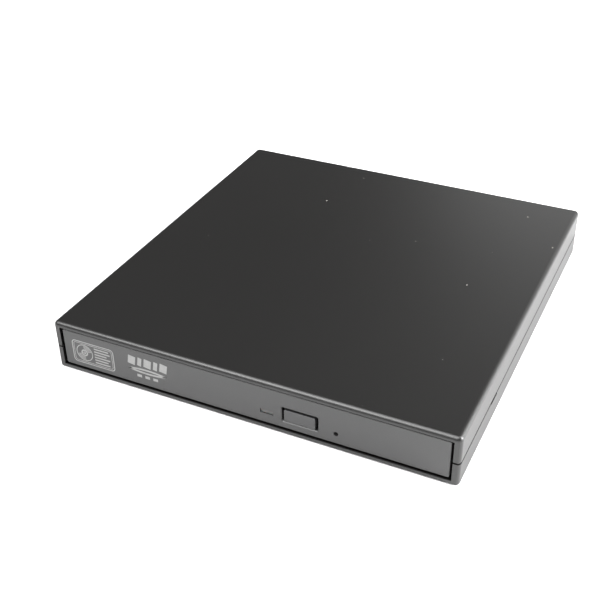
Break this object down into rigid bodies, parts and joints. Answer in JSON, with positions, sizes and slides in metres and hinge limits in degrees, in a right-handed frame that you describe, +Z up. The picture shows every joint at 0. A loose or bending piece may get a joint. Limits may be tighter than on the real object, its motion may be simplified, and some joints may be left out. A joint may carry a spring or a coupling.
{
  "type": "external optical drive",
  "caption": "Slim tray-loading USB optical disc drive in a flat two-part plastic case, with eject button, status light and emergency eject hole.",
  "frame": {"origin": "centre of the case's footprint, on the surface that the rubber feet stand on", "axes": "+Z up, front panel faces -Y, +X to the right seen from the front"},
  "size_m": [0.134, 0.14, 0.0177],
  "materials": {
    "case_plastic": "fine matte moulded black plastic",
    "bezel_plastic": "fine spark-eroded black plastic",
    "tray_plastic": "satin black moulded plastic",
    "button_plastic": "satin black plastic",
    "white_plastic": "natural acetal, satin",
    "dark_plastic": "glass-filled plastic, matte",
    "clear_plastic": "frosted clear plastic",
    "rubber": "soft matte rubber",
    "galvanised_sheet": "zinc-plated steel sheet",
    "black_sheet": "black painted steel sheet",
    "bright_steel": "ground bright steel",
    "screw_steel": "black-passivated steel",
    "cast_alloy": "die-cast, matte",
    "board": "green solder mask",
    "chip": "moulded epoxy",
    "copper_coil": "enamelled copper winding on steel teeth",
    "flex": "amber polyimide film",
    "lens_glass": "coated lens",
    "socket_metal": "tin-plated"
  },
  "bodies": {
    "case": {"board_plug": "dark_plastic", "bottom_shell": "case_plastic", "bridge_board": "board", "bridge_chip": "chip", "capacitors": "chip", "case_screws": "screw_steel", "cover_screws": "screw_steel", "crystal": "socket_metal", "drive_chassis": "galvanised_sheet", "drive_cover": "galvanised_sheet", "drive_screws": "screw_steel", "ejector_housing": "dark_plastic", "ejector_spring": "bright_steel", "flex_cable": "flex", "latch_post": "bright_steel", "power_jack": "dark_plastic", "rail_guides": "dark_plastic", "rear_board": "board", "rear_connector": "dark_plastic", "rubber_feet": "rubber", "top_shell": "case_plastic", "usb_socket": "socket_metal"},
    "tray": {"tray": "tray_plastic", "front_bezel": "bezel_plastic", "light_pipe": "clear_plastic", "tray_under_cover": "galvanised_sheet", "under_cover_screws": "screw_steel", "traverse_frame": "cast_alloy", "guide_rods": "bright_steel", "dampers": "rubber", "damper_screws": "screw_steel", "traverse_shield": "black_sheet", "sled_motor": "bright_steel", "screw_bracket": "galvanised_sheet", "motor_base": "cast_alloy", "stator": "copper_coil", "solenoid": "copper_coil", "tray_board": "board", "tray_chips": "chip", "eject_switch": "dark_plastic", "status_led": "clear_plastic"},
    "rail_left": {"rail_left": "galvanised_sheet"},
    "rail_right": {"rail_right": "galvanised_sheet"},
    "ejector": {"ejector_plunger": "white_plastic"},
    "turntable": {"turntable": "white_plastic", "rotor_can": "galvanised_sheet", "spindle_shaft": "bright_steel", "disc_rubber": "rubber"},
    "claw_1": {"disc_claw_1": "white_plastic"},
    "claw_2": {"disc_claw_2": "white_plastic"},
    "claw_3": {"disc_claw_3": "white_plastic"},
    "sled": {"pickup_sled": "dark_plastic", "lead_nut": "dark_plastic"},
    "leadscrew": {"leadscrew": "bright_steel"},
    "lens": {"lens_holder": "white_plastic", "objective_lens": "lens_glass"},
    "eject_button": {"eject_button": "button_plastic"},
    "latch": {"latch_crank": "white_plastic"},
    "plunger": {"solenoid_plunger": "bright_steel"},
    "release": {"release_bar": "white_plastic"}
  },
  "joints": [
    {"name": "tray_slide", "type": "slide", "parent": "case", "child": "tray", "axis": [0, -1, 0], "range_m": [0, 0.126], "deforming": ["flex_cable"]},
    {"name": "rail_left_slide", "type": "slide", "parent": "case", "child": "rail_left", "axis": [0, -1, 0], "range_m": [0, 0.063]},
    {"name": "rail_right_slide", "type": "slide", "parent": "case", "child": "rail_right", "axis": [0, -1, 0], "range_m": [0, 0.063]},
    {"name": "ejector_slide", "type": "slide", "parent": "case", "child": "ejector", "axis": [0, -1, 0], "range_m": [0, 0.007], "deforming": ["ejector_spring"]},
    {"name": "turntable_spin", "type": "hinge", "parent": "tray", "child": "turntable", "pos_m": [0, -0.0045, 0.009], "axis": [0, 0, 1], "continuous": true},
    {"name": "claw_1_slide", "type": "slide", "parent": "turntable", "child": "claw_1", "axis": [0.7071, 0.7071, 0], "range_m": [0, 0.0006], "stiffness_N_per_m": 150},
    {"name": "claw_2_slide", "type": "slide", "parent": "turntable", "child": "claw_2", "axis": [-0.9659, 0.2588, 0], "range_m": [0, 0.0006], "stiffness_N_per_m": 150},
    {"name": "claw_3_slide", "type": "slide", "parent": "turntable", "child": "claw_3", "axis": [0.2588, -0.9659, 0], "range_m": [0, 0.0006], "stiffness_N_per_m": 150},
    {"name": "sled_slide", "type": "slide", "parent": "tray", "child": "sled", "axis": [-0.7071, -0.7071, 0], "range_m": [0, 0.033]},
    {"name": "leadscrew_spin", "type": "hinge", "parent": "tray", "child": "leadscrew", "pos_m": [-0.00813, -0.03879, 0.0061], "axis": [-0.7071, -0.7071, 0], "range_deg": [0, 3961]},
    {"name": "lens_focus", "type": "slide", "parent": "sled", "child": "lens", "axis": [0, 0, 1], "range_m": [-0.0003, 0.0003], "stiffness_N_per_m": 60},
    {"name": "eject_button_press", "type": "slide", "parent": "tray", "child": "eject_button", "axis": [0, 1, 0], "range_m": [0, 0.0006], "stiffness_N_per_m": 600},
    {"name": "latch_turn", "type": "hinge", "parent": "tray", "child": "latch", "pos_m": [0.044, -0.0405, 0.0059], "axis": [0, 0, 1], "range_deg": [-15, 0]},
    {"name": "plunger_slide", "type": "slide", "parent": "tray", "child": "plunger", "axis": [-1, 0, 0], "range_m": [0, 0.00198], "stiffness_N_per_m": 52},
    {"name": "release_slide", "type": "slide", "parent": "tray", "child": "release", "axis": [0, 1, 0], "range_m": [0, 0.0034]}
  ],
  "couplings": [
    {"joint": "rail_left_slide", "follows": "tray_slide", "ratio": 0.5},
    {"joint": "rail_right_slide", "follows": "tray_slide", "ratio": 0.5},
    {"joint": "ejector_slide", "follows": "tray_slide", "ratio": 0.0555},
    {"joint": "leadscrew_spin", "follows": "sled_slide", "rad_per_m": 2094.4},
    {"joint": "latch_turn", "follows": "plunger_slide", "rad_per_m": -131.58},
    {"joint": "release_slide", "follows": "plunger_slide", "ratio": 1.7079}
  ]
}
